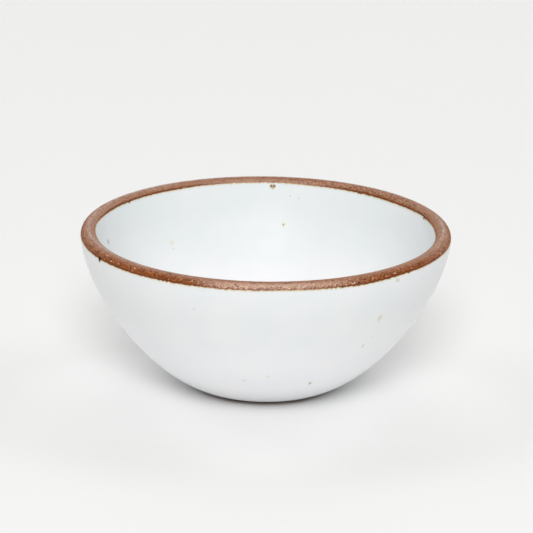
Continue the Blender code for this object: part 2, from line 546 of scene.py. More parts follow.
def clayGrit(angles, along, depth, bare):
    clay = clayBody
    finer, share = clay["gritFiner"]
    radii, heights = sectionAt(along, depth)
    grit = np.zeros_like(along)
    for i in np.flatnonzero(bare > 0):
        place = Vector((radii[i] * math.cos(angles[i]), radii[i] * math.sin(angles[i]), heights[i]))
        place = place * clay["gritScale"]
        grit[i] = noise.noise(place) + share * noise.noise(place * finer)
    return (grit - clay["gritTop"]) * clay["grit"] * bare


def clayPits(angles, along, bare):  # how deep they are, and a mask of them
    clay = clayBody
    stops = sectionStops
    middle = (stops["insideTop"] + stops["outsideTop"]) / 2
    beyond, scatter = clay["rimPits"]
    draw = random.Random(clay["pitSeed"])
    depth = np.zeros_like(along)
    mask = np.zeros_like(along)
    for _ in range(clay["pitCount"]):
        if draw.random() < clay["footPits"]:
            place = draw.uniform(stops["wallEnd"] - clay["footPitStart"], ringEnd())
        else:
            place = draw.gauss(middle + beyond, scatter)
        turn = draw.uniform(-math.pi, math.pi)
        size = draw.uniform(*clay["pitRadius"])
        deep = draw.uniform(*clay["pitDepth"])
        stretch = draw.uniform(*clay["pitStretch"])
        radius = np.interp(place, section["length"], section["radius"])
        around = (np.mod(angles - turn + math.pi, math.tau) - math.pi) * radius / stretch
        away = np.hypot(along - place, around)
        hole = (1 - smoothStep(clay["pitFlat"] * size, size, away)) * bare
        depth = depth + hole * deep
        mask = np.maximum(mask, hole * deep / clay["pitDepth"][1])
    return depth, mask


def makeClayBody():
    stops = sectionStops
    lengths = clayRows()
    piece = spinRows("clayBody", list(zip(lengths, -clayDip(lengths))), False)
    mesh = piece.data
    angles = cornerAngles(mesh)
    along = readLayer(mesh, "along")
    depth = readLayer(mesh, "depth")
    toRim = np.minimum(along - innerLine(angles), outerLine(angles) - along)
    toGlaze = np.maximum(toRim, along - footLine(angles))
    bare = smoothStep(*clayBody["bareStart"], toGlaze)
    pitDepth, pitMask = clayPits(angles, along, bare)
    depth = depth + clayGrit(angles, along, depth, bare) - pitDepth
    placeCorners(mesh, angles, along, depth)
    across = (along - stops["insideTop"]) / (stops["outsideTop"] - stops["insideTop"])
    for name, mask in rimMasks(angles, across).items():
        writeLayer(mesh, name, mask)
    writeLayer(mesh, "along", along / millimetre)
    writeLayer(mesh, "toGlaze", toGlaze / millimetre)
    writeLayer(mesh, "pit", pitMask)
    return piece


# glaze coats: thin shells whose edges melt into the clay
glazeCoat = {
    "bead": 0.00008,          # soft roll that stands proud at the edge
    "beadStart": 0.00013,
    "beadFade": (0.0010, 0.0070),
    "tuck": 0.00004,          # the edge itself lies under the clay surface
    "backGap": 0.00005,       # between its hidden side and the clay
    "lineReach": (0.0006, 0.0060),  # how far the wavy line moves the rows beside it
    # rows beside the edge in millimetres, then how many there are over the rest of each coat
    "edgeRows": (0, 0.05, 0.1, 0.17, 0.26, 0.38, 0.55, 0.8, 1.15, 1.6, 2.2, 3.0, 4.0, 5.2, 6.6),
    "innerRows": 42,
    "outerRows": 30,
    "backEdgeRows": 4,        # on its hidden side
    "backRows": 6,
}


def coatProud(fromEdge):
    coat = glazeCoat
    fromEdge = np.asarray(fromEdge, float)
    rise = 1 - np.exp(-fromEdge / coat["beadStart"])
    bead = coat["bead"] * rise * (1 - smoothStep(*coat["beadFade"], fromEdge))
    return bead - coat["tuck"] * (1 - rise)


def coatBack(lengths):
    return np.minimum(-2 * glazeCoat["tuck"], glazeCoat["backGap"] - clayDip(lengths))


def makeInnerCoat():
    coat = glazeCoat
    top = sectionStops["insideTop"]
    dipEnd = top - clayBody["dipEnd"]
    shown = [top - distance * millimetre for distance in coat["edgeRows"]]
    shown += steps(shown[-1], 0, coat["innerRows"])[1:]
    rows = list(zip(shown, coatProud(top - np.array(shown))))[::-1]
    hidden = steps(top, dipEnd, coat["backEdgeRows"]) + steps(dipEnd, 0, coat["backRows"])[1:]
    rows += list(zip(hidden, coatBack(hidden)))
    piece = spinRows("innerCoat", rows, False)
    mesh = piece.data
    angles = cornerAngles(mesh)
    along = readLayer(mesh, "along")
    fromEdge = top - along
    moved = along + (innerLine(angles) - top) * (1 - smoothStep(*coat["lineReach"], fromEdge))
    placeCorners(mesh, angles, moved, readLayer(mesh, "depth"))
    writeLayer(mesh, "along", moved / millimetre)
    writeLayer(mesh, "fromEdge", fromEdge / millimetre)
    return piece


def makeOuterCoat():
    coat = glazeCoat
    top = sectionStops["outsideTop"]
    low = sectionStops["footBand"]
    edge = [distance * millimetre for distance in coat["edgeRows"]]
    shown = [top + distance for distance in edge]
    shown += steps(top + edge[-1], low - edge[-1], coat["outerRows"])[1:]
    shown += [low - distance for distance in edge[-2::-1]]
    near = np.minimum(np.array(shown) - top, low - np.array(shown))
    rows = list(zip(shown, coatProud(near)))
    dip = clayBody["dipEnd"]
    hidden = steps(low, low - dip, coat["backEdgeRows"])
    hidden += steps(low - dip, top + dip, coat["backRows"])[1:]
    hidden += steps(top + dip, top, coat["backEdgeRows"])[1:]
    rows += list(zip(hidden, coatBack(hidden)))
    piece = spinRows("outerCoat", rows, True)
    mesh = piece.data
    angles = cornerAngles(mesh)
    along = readLayer(mesh, "along")
    rimReach = 1 - smoothStep(*coat["lineReach"], along - top)
    footReach = 1 - smoothStep(*coat["lineReach"], low - along)
    moved = along + (outerLine(angles) - top) * rimReach + (footLine(angles) - low) * footReach
    placeCorners(mesh, angles, moved, readLayer(mesh, "depth"))
    writeLayer(mesh, "along", moved / millimetre)
    writeLayer(mesh, "fromEdge", np.minimum(along - top, low - along) / millimetre)
    return piece


clayPiece = makeClayBody()
innerPiece = makeInnerCoat()
outerPiece = makeOuterCoat()
for piece in (clayPiece, innerPiece, outerPiece):
    piece.data.shade_smooth()
print("turned pieces:", [(p.name, len(p.data.polygons)) for p in (clayPiece, innerPiece, outerPiece)])


# camera at the photograph's view
photoView = {
    "frameSize": 533,         # pixels across the square picture
    "focalPixels": 2776.6,
    "distance": 0.9525,       # from the middle of the rim's plane
    "elevation": 17.37,       # degrees
    "pitch": 18.0715,         # degrees that the camera points down
    "roll": 0.75,             # degrees, right side of the picture lower
    "axisLeft": 1.04,         # pixels from the picture's middle to the bowl's axis
    "sensor": 36.0,           # millimetres
    "clip": (0.05, 30),
}


def makeCamera():
    view = photoView
    lens = bpy.data.cameras.new("photoCamera")
    lens.sensor_width = view["sensor"]
    lens.lens = view["focalPixels"] / view["frameSize"] * view["sensor"]
    lens.clip_start, lens.clip_end = view["clip"]
    camera = linkObject("photoCamera", lens)
    elevation = math.radians(view["elevation"])
    place = Vector((
        view["axisLeft"] / view["focalPixels"] * view["distance"],
        -view["distance"] * math.cos(elevation),
        rimPoint(0).y + view["distance"] * math.sin(elevation),
    ))
    tilt = Matrix.Rotation(math.radians(90 - view["pitch"]), 4, "X")
    roll = Matrix.Rotation(math.radians(view["roll"]), 4, "Z")
    camera.matrix_world = Matrix.Translation(place) @ tilt @ roll
    bpy.context.scene.camera = camera
    return camera


camera = makeCamera()
bpy.context.view_layer.update()


def underPixel(piece, pixel):  # the point of a piece that a pixel of the picture shows
    middle = photoView["frameSize"] / 2
    across = (pixel[0] - middle) / photoView["focalPixels"]
    down = (pixel[1] - middle) / photoView["focalPixels"]
    direction = camera.matrix_world.to_3x3() @ Vector((across, -down, -1))
    hit, place, normal, _ = piece.ray_cast(camera.matrix_world.translation, direction.normalized())
    return (place, normal) if hit else (None, None)


# shader helpers
def addNode(tree, kind, inputs=None, **fields):
    node = tree.nodes.new(kind)
    for name, value in fields.items():
        setattr(node, name, value)
    for name, value in (inputs or {}).items():
        if isinstance(value, bpy.types.NodeSocket):
            tree.links.new(value, node.inputs[name])
        else:
            node.inputs[name].default_value = value
    return node


def mathNode(tree, operation, first, second=0.0, third=0.0):
    node = addNode(tree, "ShaderNodeMath", {0: first, 1: second, 2: third}, operation=operation)
    return node.outputs[0]


def vectorNode(tree, operation, *vectors, **others):
    inputs = {**dict(enumerate(vectors)), **others}
    return addNode(tree, "ShaderNodeVectorMath", inputs, operation=operation).outputs["Vector"]


def spread(tree, value, low, high, newLow=0.0, newHigh=1.0):  # smooth map range
    limits = {"Value": value, "From Min": low, "From Max": high, "To Min": newLow, "To Max": newHigh}
    node = addNode(tree, "ShaderNodeMapRange", limits, interpolation_type="SMOOTHSTEP")
    return node.outputs["Result"]


def mixColour(tree, share, first, second, blend="MIX"):
    sockets = {0: share, 6: first, 7: second}
    return addNode(tree, "ShaderNodeMix", sockets, data_type="RGBA", blend_type=blend).outputs[2]


def layTone(tree, colour, tone, share, *more):  # a tone over a colour, by the product of its shares
    for other in more:
        share = mathNode(tree, "MULTIPLY", share, other)
    return mixColour(tree, share, colour, tone)


def grain(tree, place, scale, detail, roughness=0.55):
    inputs = {"Vector": place, "Scale": scale, "Detail": detail, "Roughness": roughness}
    return addNode(tree, "ShaderNodeTexNoise", inputs).outputs["Fac"]


def mottle(tree, place, settings):  # scale, detail and roughness of a noise, then how it is spread
    return spread(tree, grain(tree, place, *settings[:3]), *settings[3:])


def newGroup(name, ins, outs):  # sockets by name and kind
    group = bpy.data.node_groups.new(name, "ShaderNodeTree")
    for direction, sockets in (("INPUT", ins), ("OUTPUT", outs)):
        for label, kind in sockets.items():
            group.interface.new_socket(label, in_out=direction, socket_type="NodeSocket" + kind)
    return group, group.nodes.new("NodeGroupInput"), group.nodes.new("NodeGroupOutput")


def placeGroup(tree, group, inputs):
    return addNode(tree, "ShaderNodeGroup", inputs, node_tree=group)


# edges as shares of the radius and the mask there, sizes as shares of the radius
dots = {
    "spotEdge": (0.15, 1.1, 1.0, 0.0),
    "dotEdge": (0.5, 1.0, 1.0, 0.0),
    "smallest": 0.5,
    "sizeRange": 0.7,
}


def makeSpotGroup():  # a soft round spot on the surface, millimetres
    group, ins, outs = newGroup(
        "softSpot", {"Place": "Vector", "Centre": "Vector", "Radius": "Float"}, {"Mask": "Float"})
    ends = {0: ins.outputs["Place"], 1: ins.outputs["Centre"]}
    gap = addNode(group, "ShaderNodeVectorMath", ends, operation="DISTANCE").outputs["Value"]
    share = mathNode(group, "DIVIDE", gap, ins.outputs["Radius"])
    group.links.new(spread(group, share, *dots["spotEdge"]), outs.inputs["Mask"])
    return group


def makeDotGroup():  # scattered round dots, a few in each stretch of surface
    group, ins, outs = newGroup(
        "scatteredDots",
        {"Place": "Vector", "Spacing": "Float", "Radius": "Float", "Share": "Float"},
        {"Mask": "Float", "Random": "Float"})
    density = mathNode(group, "DIVIDE", 1.0, ins.outputs["Spacing"])
    cells = addNode(group, "ShaderNodeTexVoronoi", {"Vector": ins.outputs["Place"], "Scale": density}).outputs
    gap = mathNode(group, "MULTIPLY", cells["Distance"], ins.outputs["Spacing"])
    chance = addNode(group, "ShaderNodeSeparateColor", {"Color": cells["Color"]}).outputs
    size = mathNode(group, "MULTIPLY_ADD", chance["Green"], dots["sizeRange"], dots["smallest"])
    share = mathNode(group, "DIVIDE", gap, mathNode(group, "MULTIPLY", size, ins.outputs["Radius"]))
    kept = mathNode(group, "LESS_THAN", chance["Red"], ins.outputs["Share"])
    mask = mathNode(group, "MULTIPLY", spread(group, share, *dots["dotEdge"]), kept)
    group.links.new(mask, outs.inputs["Mask"])
    group.links.new(chance["Blue"], outs.inputs["Random"])
    return group


spotGroup = makeSpotGroup()
dotGroup = makeDotGroup()


def attributeValue(tree, name):
    return addNode(tree, "ShaderNodeAttribute", attribute_name=name).outputs["Fac"]


def startMaterial(name):
    material = bpy.data.materials.new(name)
    material.use_nodes = True
    tree = material.node_tree
    shader = tree.nodes["Principled BSDF"]
    coordinates = addNode(tree, "ShaderNodeTexCoord").outputs["Object"]
    place = vectorNode(tree, "SCALE", coordinates, Scale=1 / millimetre)
    return material, tree, shader, place


def finishShader(tree, shader, colour, roughness, height, look):
    bump = addNode(tree, "ShaderNodeBump", {"Height": height, "Strength": look["bumpStrength"],
                                            "Distance": look["bumpDistance"]})
    tree.links.new(colour, shader.inputs["Base Color"])
    tree.links.new(roughness, shader.inputs["Roughness"])
    tree.links.new(bump.outputs["Normal"], shader.inputs["Normal"])
    shader.inputs["Specular IOR Level"].default_value = look["specular"]


# glaze: satin white with a faint blue-green cast, thin and warm at its edges
glazeLook = {
    # tones high on the wall, along it and at its foot, and the heights between which they change: outside,
    # the lighter lower wall is painted light and the darker foot painted shade; inside, the lighter tone low
    # down is a painted highlight
    "outside": {"High": (0.789, 0.798, 0.803, 1), "Wall": (0.907, 0.911, 0.922, 1),
                "Foot": (0.808, 0.815, 0.828, 1), "High From": 44.0, "High To": 16.0,
                "Foot From": 12.0, "Foot To": 3.0, "Fringe": 0.9},
    "inside": {"High": (0.845, 0.870, 0.868, 1), "Wall": (0.757, 0.776, 0.775, 1),
               "Foot": (0.864, 0.845, 0.853, 1), "High From": 57.0, "High To": 44.0,
               "Foot From": 38.0, "Foot To": 14.0, "Fringe": 0.85},
    "outsideRoughness": (0.285, 0.315),
    "insideRoughness": (0.48, 0.58),
    "cloud": (0.965, 0.985, 0.995, 1),  # tints that the clouds and runs lay over it
    "run": (0.94, 0.955, 0.96, 1),
    "thin": (0.68, 0.67, 0.61, 1),      # where it thins out, and at the lip of its edge
    "fringe": (0.52, 0.35, 0.13, 1),
    # noises: scale, detail, roughness, then the limits and what they are spread to
    "cloudNoise": (0.055, 3.0, 0.55, 0.34, 0.66),
    "runNoise": (1.0, 2.0, 0.55, 0.52, 0.75, 0.0, 0.12),
    "satinNoise": (0.16, 4.0, 0.55, 0.3, 0.7),
    "raggedNoise": (1.7, 3.0),
    "swellNoise": (0.22, 2.0),
    "peelNoise": (0.9, 2.0),
    "wanderNoise": {"Scale": 2.2, "Detail": 2.0},
    "runCircle": 26.0,        # larger for more runs round the bowl
    "runFall": 0.04,          # how quickly they change down the wall
    "raggedReach": 0.9,       # millimetres
    # millimetres from the edge, then the shares there
    "thinReach": (0.1, 1.1, 0.75, 0.0),
    "lipReach": (0.12, 0.40, 0.9, 0.0),
    "peelShare": 0.12,
    "wanderReach": 0.45,      # how far the specks' outlines wander
    "faintDots": {"Spacing": 11.0, "Radius": 0.42, "Share": 0.8},
    "faintStrength": 0.7,
    "specular": 0.5,
    "bumpDistance": 0.0006,
    "bumpStrength": 0.07,
}


def makeGlazeGroup():
    look = glazeLook
    group, ins, outs = newGroup(
        "glazeSurface",
        {"Place": "Vector", "From Edge": "Float", "Fringe": "Float", "High": "Color", "Wall": "Color",
         "Foot": "Color", "High From": "Float", "High To": "Float", "Foot From": "Float", "Foot To": "Float"},
        {"Color": "Color", "Satin": "Float", "Height": "Float"})
    given = ins.outputs
    place = given["Place"]
    parts = addNode(group, "ShaderNodeSeparateXYZ", {0: place}).outputs
    # tones by height: painted light on the outside's lower wall, painted shade at its foot, a painted
    # highlight low on the inside
    below = spread(group, parts["Z"], given["High From"], given["High To"])
    colour = mixColour(group, below, given["High"], given["Wall"])
    nearFoot = spread(group, parts["Z"], given["Foot From"], given["Foot To"])
    colour = mixColour(group, nearFoot, colour, given["Foot"])
    cloud = mottle(group, place, look["cloudNoise"])
    colour = mixColour(group, cloud, colour, look["cloud"], "MULTIPLY")
    # faint runs down the wall: noise by the direction from the axis
    flat = addNode(group, "ShaderNodeCombineXYZ", {"X": parts["X"], "Y": parts["Y"]}).outputs[0]
    facing = vectorNode(group, "NORMALIZE", flat)
    facing = vectorNode(group, "SCALE", facing, Scale=look["runCircle"])
    fall = mathNode(group, "MULTIPLY", parts["Z"], look["runFall"])
    fall = addNode(group, "ShaderNodeCombineXYZ", {"Z": fall}).outputs[0]
    runs = mottle(group, vectorNode(group, "ADD", facing, fall), look["runNoise"])
    colour = mixColour(group, runs, colour, look["run"], "MULTIPLY")
    # the edge, with a ragged line
    ragged = mathNode(group, "SUBTRACT", grain(group, place, *look["raggedNoise"]), 0.5)
    edge = mathNode(group, "MULTIPLY_ADD", ragged, look["raggedReach"], given["From Edge"])
    for reach, tone in (("thinReach", "thin"), ("lipReach", "fringe")):
        colour = layTone(group, colour, look[tone], spread(group, edge, *look[reach]), given["Fringe"])
    swell = grain(group, place, *look["swellNoise"])
    peel = grain(group, place, *look["peelNoise"])
    height = mathNode(group, "MULTIPLY_ADD", peel, look["peelShare"], swell)
    group.links.new(colour, outs.inputs["Color"])
    group.links.new(mottle(group, place, look["satinNoise"]), outs.inputs["Satin"])
    group.links.new(height, outs.inputs["Height"])
    return group


glazeGroup = makeGlazeGroup()

# specks in the glaze at their pixels in the picture: kind, pixel, radius in millimetres
insideSpecks = [
    ("ochre", (271.2, 186.2), 0.85), ("ochre", (274.4, 186.3), 0.80), ("ochre", (272.8, 187.0), 0.90),
    ("rust", (271.4, 185.7), 0.55), ("rust", (274.0, 185.8), 0.58), ("iron", (274.3, 185.7), 0.30),
    ("straw", (272.8, 187.9), 1.00), ("straw", (283.7, 223.8), 1.00), ("ochre", (283.5, 224.5), 0.50),
    ("iron", (283.2, 225.2), 0.26), ("smoke", (283.5, 227.0), 0.40), ("straw", (171.8, 242.4), 0.95),
    ("smoke", (173.4, 248.6), 0.42), ("straw", (172.1, 243.8), 0.80), ("smoke", (107.6, 240.4), 1.00),
    ("smoke", (108.2, 241.8), 1.20), ("smoke", (108.6, 242.8), 1.00), ("soot", (108.2, 241.8), 0.85),
    ("rust", (424.0, 218.0), 0.62), ("rust", (423.4, 218.8), 0.50), ("rust", (129.4, 201.0), 0.50),
    ("rust", (359.4, 193.0), 0.52), ("smoke", (290.0, 196.0), 0.42), ("smoke", (299.0, 198.2), 0.42),
]
outsideSpecks = [
    ("ochre", (99.2, 261.2), 0.80), ("ochre", (100.0, 261.0), 0.70), ("straw", (398.2, 280.2), 0.80),
    ("smoke", (397.6, 280.8), 0.70), ("smoke", (397.1, 279.9), 0.75), ("smoke", (398.5, 280.1), 0.75),
    ("soot", (397.7, 279.9), 0.42), ("straw", (380.2, 317.2), 1.30), ("straw", (380.9, 316.4), 0.80),
    ("smoke", (379.6, 318.8), 0.80), ("smoke", (378.6, 321.4), 0.60), ("smoke", (363.4, 345.2), 0.75),
    ("smoke", (362.6, 346.8), 0.65), ("straw", (310.2, 383.0), 1.00), ("ochre", (310.2, 382.9), 0.70),
    ("rust", (309.5, 384.0), 0.42), ("cream", (268.0, 376.6), 1.00), ("mist", (244.2, 380.6), 1.10),
    ("smoke", (194.0, 309.0), 0.50), ("smoke", (267.0, 269.0), 0.45), ("smoke", (391.0, 263.0), 0.50),
]
# colour and strength of each kind, in the order in which they lie on one another
speckKinds = {
    "mist": ((0.62, 0.64, 0.60, 1), 0.5),
    "cream": ((0.76, 0.73, 0.58, 1), 0.7),
    "smoke": ((0.40, 0.41, 0.38, 1), 0.5),
    "soot": ((0.24, 0.25, 0.24, 1), 0.6),
    "straw": ((0.70, 0.64, 0.45, 1), 0.8),
    "ochre": ((0.42, 0.27, 0.10, 1), 0.85),
    "rust": ((0.17, 0.078, 0.022, 1), 0.95),
    "iron": ((0.045, 0.018, 0.006, 1), 1.0),
}


def makeGlaze(name, piece, specks, tones, roughness):
    look = glazeLook
    material, tree, shader, place = startMaterial(name)
    fromEdge = attributeValue(tree, "fromEdge")
    coat = placeGroup(tree, glazeGroup, {"Place": place, "From Edge": fromEdge, **tones}).outputs
    colour = coat["Color"]
    wander = addNode(tree, "ShaderNodeTexNoise", {"Vector": place, **look["wanderNoise"]}).outputs["Color"]
    wander = vectorNode(tree, "SUBTRACT", wander, (0.5, 0.5, 0.5))
    uneven = vectorNode(tree, "ADD", place, vectorNode(tree, "SCALE", wander, Scale=look["wanderReach"]))
    for kind, (tone, strength) in speckKinds.items():
        mask = None
        for pixel, radius in [(pixel, radius) for speckKind, pixel, radius in specks if speckKind == kind]:
            point, _ = underPixel(piece, pixel)
            if point is None:
                continue
            spot = {"Place": uneven, "Centre": point / millimetre, "Radius": radius}
            spot = placeGroup(tree, spotGroup, spot).outputs["Mask"]
            mask = spot if mask is None else mathNode(tree, "MAXIMUM", mask, spot)
        if mask is not None:
            colour = layTone(tree, colour, tone, mask, strength)
    faint = placeGroup(tree, dotGroup, {"Place": uneven, **look["faintDots"]}).outputs
    shares = (faint["Mask"], faint["Random"], look["faintStrength"])
    colour = layTone(tree, colour, speckKinds["ochre"][0], *shares)
    satin = spread(tree, coat["Satin"], 0.0, 1.0, *roughness)
    finishShader(tree, shader, colour, satin, coat["Height"], look)
    piece.data.materials.append(material)


# bare clay: iron-rich brown, worn pale and painted with sheen on the crest, dark beside the glaze, with
# painted sheen and shade on the rim
clayLook = {
    "deep": (0.165, 0.048, 0.015, 1),
    "warm": (0.345, 0.128, 0.050, 1),
    "ochre": (0.360, 0.145, 0.042, 1),
    "crest": (0.410, 0.242, 0.172, 1),
    # next: pale grey of the painted sheen on the crest and the ends (also of the pale grog), the paler
    # painted sheen at front and back, the deeper painted shade on the shoulders, the dark line, and the grey
    # painted sheen of the ring
    "ash": (0.600, 0.450, 0.380, 1),
    "frontBackSheen": (0.605, 0.410, 0.320, 1),
    "chestnut": (0.218, 0.053, 0.004, 1),
    "line": (0.130, 0.030, 0.003, 1),
    "grey": (0.555, 0.485, 0.445, 1),
    "crumbDark": (0.57, 0.51, 0.49, 1),
    "crumbPale": (1.33, 1.30, 1.24, 1),
    "pit": (0.055, 0.015, 0.005, 1),
    "pale": (0.74, 0.57, 0.46, 1),
    # noises: scale, detail, roughness, then the limits and what they are spread to
    "streakNoise": (1.0, 3.0, 0.55, 0.36, 0.64),
    "fleckNoise": (2.2, 5.0, 0.75, 0.39, 0.61),
    "patchNoise": (0.45, 3.0, 0.55, 0.46, 0.66),
    "crestSheenNoise": (1.6, 3.0, 0.70, 0.55, 0.68),
    "endSheenNoise": (1.1, 4.0, 0.70, 0.42, 0.66, 0.0, 0.30),
    "sheenRingNoise": (0.9, 3.0, 0.65, 0.40, 0.64, 0.05, 0.65),
    "speckleNoise": (1.5, 2.0, 0.60, 0.40, 0.60),
    "raggedNoise": (1.3, 3.0),
    "heightNoise": (2.6, 4.0, 0.6),
    "streakScale": (2.4, 0.12, 0.12),  # along the section, then the two directions round the bowl
    "underside": (1.6, 2.6, 1.0, 0.0),  # heights between which the trimming rings go out, and the shares
    "lineReach": (-0.15, 0.50, 1.0, 0.0),  # millimetres from the glaze, then the shares there
    "raggedReach": 0.8,
    # how much the flecks and streaks change a tone, from none of them to the most
    "crestStreak": (0.6, 1.0),
    "crestFleck": (0.30, 0.95),
    "shoulderShadeFleck": (0.82, 0.55),
    "frontBackSheenFleck": (0.60, 0.95),
    # strengths
    "ochreShare": 0.55,
    "ringShare": 0.65,
    "crestSheenShare": 0.5,
    "lineShare": 0.92,
    "holeShare": 0.7,
    "pitShare": 0.8,
    "paleShare": 0.6,
    "holes": {"Spacing": 1.3, "Radius": 0.34, "Share": 0.5},
    "paleDots": {"Spacing": 1.7, "Radius": 0.30, "Share": 0.4},
    "paleShift": (37.0, 11.0, 5.0),  # so that they don't fall on the holes
    "roughness": (0.76, 0.58),
    "specular": 0.2,
    "bumpDistance": 0.0002,
    "bumpStrength": 0.5,
    "holeDrop": -0.8,
}


def makeClay(name, piece):
    look = clayLook
    material, tree, shader, place = startMaterial(name)
    parts = addNode(tree, "ShaderNodeSeparateXYZ", {0: place}).outputs
    turned = addNode(tree, "ShaderNodeCombineXYZ", {
        "X": attributeValue(tree, "along"), "Y": parts["X"], "Z": parts["Y"]}).outputs[0]
    turned = vectorNode(tree, "MULTIPLY", turned, look["streakScale"])
    streak = mottle(tree, turned, look["streakNoise"])
    fleck = mottle(tree, place, look["fleckNoise"])
    crest = attributeValue(tree, "crest")
    colour = mixColour(tree, fleck, look["deep"], look["warm"])
    colour = layTone(tree, colour, look["ochre"], mottle(tree, place, look["patchNoise"]), look["ochreShare"])
    # rings left by trimming the underside
    rings = mathNode(tree, "MULTIPLY", spread(tree, parts["Z"], *look["underside"]), streak)
    colour = layTone(tree, colour, look["deep"], rings, look["ringShare"])
    # the crest is lighter, partly worn and partly a painted sheen, in streaks that follow the turning, with a
    # grey painted sheen over it
    wornStreak = spread(tree, streak, 0.0, 1.0, *look["crestStreak"])
    wornFleck = spread(tree, fleck, 0.0, 1.0, *look["crestFleck"])
    colour = layTone(tree, colour, look["crest"], crest, wornStreak, wornFleck)
    ash = mottle(tree, place, look["crestSheenNoise"])
    colour = layTone(tree, colour, look["ash"], ash, crest, streak, look["crestSheenShare"])
    # painted sheen: greyer at the two ends, paler at the front and the back, and a grey ring round the rim;
    # painted shade: a deeper chestnut on the shoulders
    for layer, tone, pattern in (
            ("endSheen", "ash", mottle(tree, place, look["endSheenNoise"])),
            ("shoulderShade", "chestnut", spread(tree, fleck, 0.0, 1.0, *look["shoulderShadeFleck"])),
            ("frontBackSheen", "frontBackSheen", spread(tree, fleck, 0.0, 1.0, *look["frontBackSheenFleck"])),
            ("sheen", "grey", mottle(tree, place, look["sheenRingNoise"]))):
        colour = layTone(tree, colour, look[tone], attributeValue(tree, layer), pattern)
    # crumbly light and dark specks over the outer half
    speckle = mottle(tree, place, look["speckleNoise"])
    tint = mixColour(tree, speckle, look["crumbDark"], look["crumbPale"])
    colour = mixColour(tree, attributeValue(tree, "crumb"), colour, tint, "MULTIPLY")
    # dark line beside the glaze
    ragged = mathNode(tree, "MULTIPLY", grain(tree, place, *look["raggedNoise"]), look["raggedReach"])
    fromGlaze = mathNode(tree, "SUBTRACT", attributeValue(tree, "toGlaze"), ragged)
    line = spread(tree, fromGlaze, *look["lineReach"])
    colour = layTone(tree, colour, look["line"], line, attributeValue(tree, "lineDark"), look["lineShare"])
    # small holes, darkened with painted shade, and pale grains
    holes = placeGroup(tree, dotGroup, {"Place": place, **look["holes"]}).outputs["Mask"]
    holes = mathNode(tree, "MULTIPLY", holes, look["holeShare"])
    dark = mathNode(tree, "MAXIMUM", holes, attributeValue(tree, "pit"))
    colour = layTone(tree, colour, look["pit"], dark, look["pitShare"])
    shifted = vectorNode(tree, "ADD", place, look["paleShift"])
    pale = placeGroup(tree, dotGroup, {"Place": shifted, **look["paleDots"]}).outputs
    colour = layTone(tree, colour, look["pale"], pale["Mask"], pale["Random"], look["paleShare"])
    roughness = spread(tree, fleck, 0.0, 1.0, *look["roughness"])
    height = mathNode(tree, "MULTIPLY_ADD", dark, look["holeDrop"], grain(tree, place, *look["heightNoise"]))
    height = mathNode(tree, "SUBTRACT", height, rings)
    finishShader(tree, shader, colour, roughness, height, look)
    piece.data.materials.append(material)


# pale grains of grog and burnt grains of iron on the bare rim
clayGrains = {
    # the ones in the picture by their pixels, the burnt ones with their radius
    "seen": [(354.6, 283.0), (372.6, 278.2), (386.6, 276.2), (395.0, 273.0), (336.5, 283.6), (111.0, 261.0),
             (134.7, 268.2), (192.0, 281.2), (222.0, 286.2), (246.6, 288.4), (254.5, 288.4), (346.0, 284.4),
             (303.0, 287.0), (289.0, 288.4)],
    "seenRadius": (0.00026, 0.00038),
    "burnt": [((99.9, 258.8), 0.00075), ((99.6, 259.8), 0.00066), ((364.4, 279.2), 0.00040),
              ((359.2, 282.2), 0.00034), ((336.8, 284.7), 0.00030), ((342.6, 287.2), 0.00028),
              ((154.4, 274.6), 0.00030), ((424.2, 217.7), 0.00052), ((424.6, 213.7), 0.00034),
              ((358.6, 193.2), 0.00030), ((366.8, 188.4), 0.00024), ((372.4, 192.4), 0.00024),
              ((129.5, 201.0), 0.00030)],
    "seed": 9,
    "count": 110,             # scattered ones
    "radius": (0.00010, 0.00022),
    "outerSpan": (14, 62),    # degrees over the rounding, 0 outside and 180 inside
    "innerSpan": (118, 160),
    "outerShare": 0.75,
    "sink": 0.45,             # share of the radius under the surface
    "burntSink": 0.10,
    "burntHeight": 0.7,
    "flatness": (0.6, 1),
    "subdivisions": 2,
    # tones, the noise between them, roughness and specular level
    "finishes": {
        "paleGrog": (clayLook["ash"], (0.84, 0.70, 0.60, 1), (0.7, 2.0, 0.55, 0.3, 0.7), 0.6, 0.5),
        "burntIron": ((0.012, 0.006, 0.004, 1), (0.05, 0.022, 0.010, 1),
                      (1.6, 2.0, 0.55, 0.35, 0.65), 0.7, 0.1),
    },
}


def paleSpots(draw):  # place, direction and radius of each pale grain
    grains = clayGrains
    spots = []
    for pixel in grains["seen"]:
        place, normal = underPixel(clayPiece, pixel)
        if place is not None:
            spots.append((place, normal, draw.uniform(*grains["seenRadius"])))
    for _ in range(grains["count"]):
        span = grains["outerSpan"] if draw.random() < grains["outerShare"] else grains["innerSpan"]
        point = rimPoint(draw.uniform(*span))
        turn = draw.uniform(0, math.tau)
        near = Vector((point.x * math.cos(turn), point.x * math.sin(turn), point.y))
        _, place, normal, _ = clayPiece.closest_point_on_mesh(near)
        spots.append((place, normal, draw.uniform(*grains["radius"])))
    return spots


def burntSpots():  # on whichever piece the picture shows there
    spots = []
    eye = camera.matrix_world.translation
    for pixel, radius in clayGrains["burnt"]:
        hits = [underPixel(piece, pixel) for piece in (clayPiece, innerPiece, outerPiece)]
        hits = [hit for hit in hits if hit[0] is not None]
        place, normal = min(hits, key=lambda hit: (hit[0] - eye).length)
        spots.append((place, normal, radius))
    return spots


